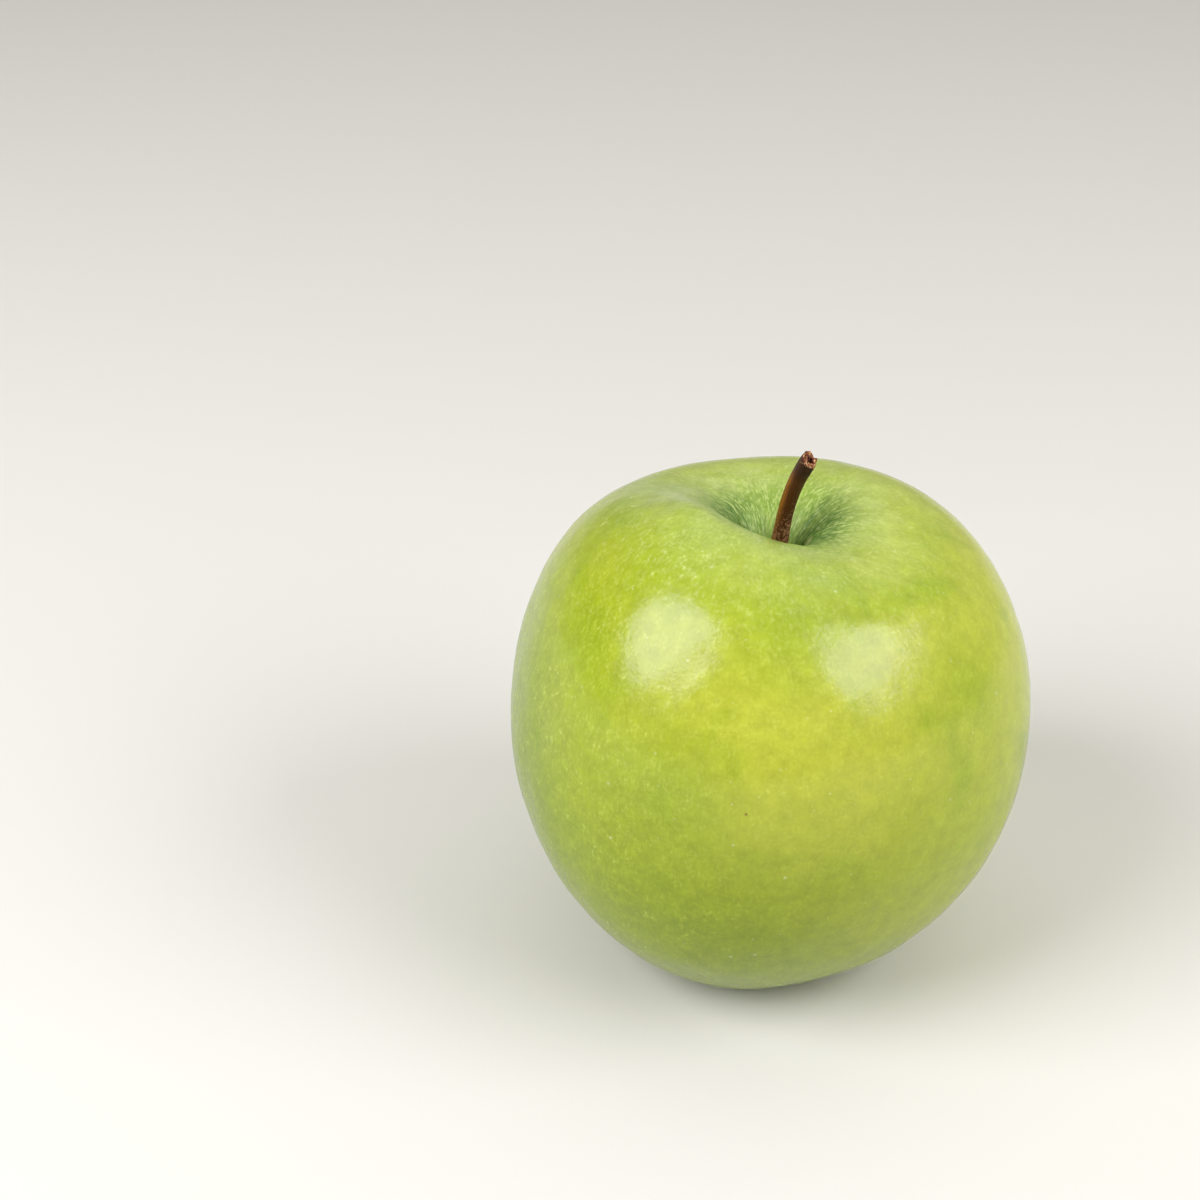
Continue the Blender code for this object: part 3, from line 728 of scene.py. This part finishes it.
def fibreMaterial():
    look = fibreLook
    material, tree, shader = newMaterial("torn stem wood")
    place = addNode(tree, "TexCoord", (), output="Object")
    tint = addNode(tree, "Attribute", (), output="Fac", attribute_name="tint")
    fleck = addNode(tree, "TexNoise", {"Vector": place, "Scale": look["flecksPerMm"] / mm})
    tint = addNode(tree, "Math", (fleck, tint, look["tintLift"]), operation="MULTIPLY_ADD", use_clamp=True)
    tree.links.new(laidOver(tree, look["rosy"], [(tint, look["pale"])]), shader.inputs["Base Color"])
    shader.inputs["Roughness"].default_value = look["roughness"]
    return material


tip, tipAlong, tipEdge = makeStem(barkMaterial())
makeFibres(fibreMaterial(), tip, tipAlong, tipEdge)


# the calyx in the basin under the apple, in millimetres

calyxForm = {
    "sepals": 5, "turn": 12.0, "start": 1.3, "reach": 6.3, "halfWidth": 1.55, "thickness": 0.32,
    "curl": 1.0, "edgeCurl": 0.45, "standOff": 0.30, "ridge": 0.03, "swing": 0.10, "wavy": 0.12,
    "rows": 44, "sides": 28,
    "cupOutline": (  # (radius, how far below the basin's floor), from the hole outwards and back under
        (0.05, 0.15), (0.5, 0.2), (0.85, 0.35), (1.05, 0.8), (1.25, 1.2), (1.5, 1.3), (1.75, 1.05),
        (1.95, 0.6), (2.1, 0.15), (1.6, -0.2), (0.8, -0.3), (0.1, -0.3)),
    "cupRows": 48, "cupSides": 60, "cupFolds": 0.07, "cupPleats": 0.05, "rimPleats": 0.12,
    "stamens": 16, "stamenLength": (1.0, 1.9), "stamenRadius": 0.09, "stamenCircle": (0.7, 1.2),
    "stamenDrop": 0.7, "knobAt": 0.93, "knobWidth": 0.09,
    "hairs": 420, "hairLength": (0.35, 0.9), "hairRadius": 0.018, "seed": 9,
}


def basinHeight(radius):
    # height of the basin's surface at a distance from its middle
    outline, _ = bodyOutline(600)
    basin = outline[outline[:, 1] < form["basinDepth"] + 0.01]
    basin = basin[basin[:, 0] <= form["footRadius"]][::-1]
    return np.interp(radius, basin[:, 0], basin[:, 1])


def sepalRings(k):
    # an oval strip that lies along the basin, widest near its foot, with edges that curl down and a tip
    # that bends away; across runs round the strip, share runs along it
    f = calyxForm
    share = np.linspace(0.0, 1.0, f["rows"])[:, None]
    across = np.linspace(0.0, fullTurn, f["sides"], endpoint=False)[None, :]
    middle = math.radians(f["turn"]) + fullTurn * k / f["sepals"]
    swing = f["swing"] * math.sin(2.1 * k + 0.4) * share**2
    radius = f["start"] + (f["reach"] * (0.94 + 0.05 * math.cos(1.7 * k)) - f["start"]) * share
    halfWidth = f["halfWidth"] * np.sqrt(1.0 - share**2.2) * (0.55 + 0.45 * smoothStep(share / 0.25)) + 0.02
    w = np.cos(across)
    ridge = f["ridge"] * np.cos(3.0 * math.pi * w) * (1.0 - share)
    thick = f["thickness"] * 0.5 * np.sin(across) * (1.0 - 0.6 * share)
    offset = (f["standOff"] + f["curl"] * share**3 + f["edgeCurl"] * w**2 * smoothStep(share / 0.5) + ridge
              + f["wavy"] * np.sin(5.0 * share + k))
    angle = middle + swing + w * halfWidth / radius
    height = basinHeight(radius) - offset + thick
    return shaped(radius * np.ones_like(angle), height, angle) - formMiddle


def cupRings(centre, roof):
    # the outline carried round the core, its radius and depth waving a little: withered flesh that stands
    # down round a dark hole
    f = calyxForm
    outline = np.array(f["cupOutline"])
    t = np.linspace(0, len(outline) - 1, f["cupRows"])
    fine = np.stack([np.interp(t, np.arange(len(outline)), outline[:, j]) for j in (0, 1)], axis=-1)
    angle = np.linspace(0.0, fullTurn, f["cupSides"], endpoint=False)[None, :]
    radius = fine[:, :1] * (1.0 + f["cupFolds"] * wave(angle, f["sepals"], f["turn"])
                            + f["cupPleats"] * wave(angle, 13, 20.0))
    height = roof - fine[:, 1:] * (1.0 + f["rimPleats"] * wave(angle, 10, 5.0))
    cup = np.stack([radius * np.cos(angle), radius * np.sin(angle), height * np.ones_like(angle)], axis=-1)
    return (cup + centre)[::-1]


def stamenRings(k, dice, centre, roof):
    # a bent thread that hangs from the cup's hole, with a small knob near its end
    f = calyxForm
    t = np.linspace(0.0, 1.0, 9)
    turn = fullTurn * (k + dice.uniform(-0.3, 0.3)) / f["stamens"]
    out = np.array([math.cos(turn), math.sin(turn), 0.0])
    start = centre + out * dice.uniform(*f["stamenCircle"]) + [0.0, 0.0, roof - f["stamenDrop"]]
    length = dice.uniform(*f["stamenLength"])
    lean = out * dice.uniform(-0.5, 0.5) + np.cross(out, [0.0, 0.0, 1.0]) * dice.normal(0.0, 0.5)
    end = start + length * (lean + [0.0, 0.0, -0.8])
    path = cubic(start, start - [0.0, 0.0, 0.4 * length], end + [0.0, 0.0, 0.4 * length], end, t)
    radius = f["stamenRadius"] * (0.7 + 1.1 * np.exp(-(((t - f["knobAt"]) / f["knobWidth"]) ** 2)))
    radius[-1] *= 0.5
    return tubeAlong(path, radius, 8, 1.0, [1.0, 0.3, 0.1])


def hairRings(ring, dice):
    # a short hair from a random place on the lower side of a sepal
    f = calyxForm
    t = np.linspace(0.0, 1.0, 5)
    row = dice.integers(2, ring.shape[0] - 2)
    column = dice.integers(int(ring.shape[1] * 0.5), ring.shape[1])
    root = ring[row, column]
    lean = dice.normal(0.0, 0.45, 3) + (ring[row + 1, column] - ring[row, column]) * 2.0
    end = root + dice.uniform(*f["hairLength"]) * (lean + [0.0, 0.0, -0.7])
    path = cubic(root, root - [0.0, 0.0, 0.15], end + [0.0, 0.0, 0.1], end, t)
    return tubeAlong(path, f["hairRadius"] * (1.05 - t), 4, 1.0, [1.0, 0.2, 0.3])


def makeCalyx(material):
    # each part has one tint, by which the material colours it
    f, tints = calyxForm, calyxLook["tints"]
    dice = np.random.default_rng(f["seed"])
    roof = form["basinDepth"] - form["footFlat"]
    centre = np.append(leanAt(roof), 0.0) - formMiddle
    sepals = [sepalRings(k) for k in range(f["sepals"])]
    stamens = [stamenRings(k, dice, centre, roof) for k in range(f["stamens"])]
    parts = sepals + [cupRings(centre, roof)] + stamens
    kinds = ["sepal"] * len(sepals) + ["cup"] + ["stamen"] * len(stamens)
    calyx = makePiece("dried_calyx", joinedGrids(parts), "calyx", material)
    tint = [np.full(part.shape[0] * part.shape[1] + 2, tints[kind]) for part, kind in zip(parts, kinds)]
    addAttribute(calyx, "tint", np.concatenate(tint))

    hairs = joinedGrids([hairRings(sepals[k % f["sepals"]], dice) for k in range(f["hairs"])])
    down = makePiece("calyx_down", hairs, None, material)
    addAttribute(down, "tint", np.full(len(hairs[0]), tints["down"]))


# Dried sepals: papery brown, a little green left at the foot, with pale down. Quite matt.
calyxLook = {
    "tints": {"sepal": 0.0, "cup": 0.35, "stamen": 0.7, "down": 1.0},
    "sepal": "#6B4F2F", "greenish": "#8A8446", "blotchMm": 0.8, "blotchRange": (0.35, 0.65, 0.0, 1.0),
    "stages": ((0.1, 0.35, "#2A1A10"), (0.4, 0.7, "#3B2716"), (0.8, 1.0, "#B9A98A")),  # (tints, colour)
    "veinMm": 0.2, "veinHeightMm": 0.03, "roughness": 0.85,
}


def calyxMaterial():
    look = calyxLook
    material, tree, shader = newMaterial("dried apple calyx")
    place = addNode(tree, "TexCoord", (), output="Object")
    place = addNode(tree, "VectorMath", {0: place, "Scale": 1.0 / mm}, operation="SCALE")
    tint = addNode(tree, "Attribute", (), output="Fac", attribute_name="tint")
    blotch = addNode(tree, "TexNoise", {"Vector": place, "Scale": 1.0 / look["blotchMm"], "Detail": 3.0})
    layers = [(addNode(tree, "MapRange", (blotch, *look["blotchRange"])), look["greenish"])]
    for first, last, stageColour in look["stages"]:
        layers.append((addNode(tree, "MapRange", (tint, first, last)), stageColour))
    tree.links.new(laidOver(tree, look["sepal"], layers), shader.inputs["Base Color"])
    shader.inputs["Roughness"].default_value = look["roughness"]
    veins = addNode(tree, "TexNoise", {"Vector": place, "Scale": 1.0 / look["veinMm"], "Detail": 3.0})
    veins = addNode(tree, "Bump", {"Height": veins, "Distance": look["veinHeightMm"] * mm, "Strength": 1.0})
    tree.links.new(veins, shader.inputs["Normal"])
    return material


makeCalyx(calyxMaterial())


# stage, light and camera: sizes in metres, the camera's place in millimetres

stageLook = {
    "floorSize": 8.0, "floorColour": "#DFDECC", "floorRoughness": 0.9, "floorShine": 0.1,
    "worldColour": "#FFFFFF", "brightSide": (0.75, 0.35, 0.55), "brightRange": (-0.4, 0.9, 0.03, 0.44),
}
cameraPlace = {"lens": 72.0, "pitch": 30.0, "left": 25.5, "front": 307.4, "height": 234.9}
# turn 0 is the front and positive to the right; roll turns the box in its own plane
softboxes = {
    "left": {"shape": "ELLIPSE", "colour": "#EDEAFF", "turn": -62.5, "rise": 36.0, "roll": 50.0,
             "distance": 0.8, "width": 0.78, "height": 0.53, "power": 7.9},
    "right": {"shape": "ELLIPSE", "colour": "#EDEAFF", "turn": 62.0, "rise": 37.5, "roll": 24.0,
              "distance": 0.8, "width": 0.72, "height": 0.43, "power": 5.1},
    "top": {"shape": "RECTANGLE", "colour": "#FFFFFF", "turn": 175.0, "rise": 68.0, "roll": 0.0,
            "distance": 1.3, "width": 1.6, "height": 1.4, "power": 3.7},
}


def makeFloor():
    half = stageLook["floorSize"] / 2.0
    mesh = bpy.data.meshes.new("floor")
    mesh.from_pydata([(-half, -half, 0), (half, -half, 0), (half, half, 0), (-half, half, 0)], [],
                     [(0, 1, 2, 3)])
    floor = bpy.data.objects.new("floor", mesh)
    bpy.context.scene.collection.objects.link(floor)
    material, _, shader = newMaterial("white matt card")
    shader.inputs["Base Color"].default_value = linear(stageLook["floorColour"])
    shader.inputs["Roughness"].default_value = stageLook["floorRoughness"]
    shader.inputs["Specular IOR Level"].default_value = stageLook["floorShine"]
    mesh.materials.append(material)


def makeWorld():
    # white all round, brightest high behind on the right
    look = stageLook
    world = bpy.data.worlds.new("white studio")
    world.use_nodes = True
    tree = world.node_tree
    way = addNode(tree, "TexCoord", (), output="Generated")
    toBright = addNode(tree, "VectorMath", (way, look["brightSide"]), output="Value",
                       operation="DOT_PRODUCT")
    strength = addNode(tree, "MapRange", (toBright, *look["brightRange"]), interpolation_type="SMOOTHSTEP")
    back = tree.nodes["Background"]
    back.inputs["Color"].default_value = linear(look["worldColour"])
    tree.links.new(strength, back.inputs["Strength"])
    bpy.context.scene.world = world


def makeLights():
    # each softbox is turned to face the middle of the apple
    centre = (bodyLow + bodyHigh) / 2.0
    for name, box in softboxes.items():
        turn, rise = math.radians(box["turn"]), math.radians(box["rise"])
        away = Vector((math.sin(turn) * math.cos(rise), -math.cos(turn) * math.cos(rise), math.sin(rise)))
        lamp = bpy.data.lights.new(name + " softbox", "AREA")
        lamp.shape = box["shape"]
        lamp.size, lamp.size_y = box["width"], box["height"]
        lamp.energy = box["power"]
        lamp.color = linear(box["colour"])[:3]
        light = bpy.data.objects.new(name + " softbox", lamp)
        facing = (-away).to_track_quat("-Z", "Y") @ Quaternion((0.0, 0.0, 1.0), math.radians(box["roll"]))
        light.location = centre + away * box["distance"]
        light.rotation_euler = facing.to_euler()
        bpy.context.scene.collection.objects.link(light)


def makeCamera():
    camera = bpy.data.objects.new("camera", bpy.data.cameras.new("camera"))
    camera.data.lens = cameraPlace["lens"]
    camera.location = (-cameraPlace["left"] * mm, -cameraPlace["front"] * mm, cameraPlace["height"] * mm)
    camera.rotation_euler = (math.radians(90.0 - cameraPlace["pitch"]), 0.0, 0.0)
    bpy.context.scene.collection.objects.link(camera)
    bpy.context.scene.camera = camera


makeFloor()
makeWorld()
makeLights()
makeCamera()
bpy.context.scene.view_settings.view_transform = "Standard"
print("stage, lights and camera set")
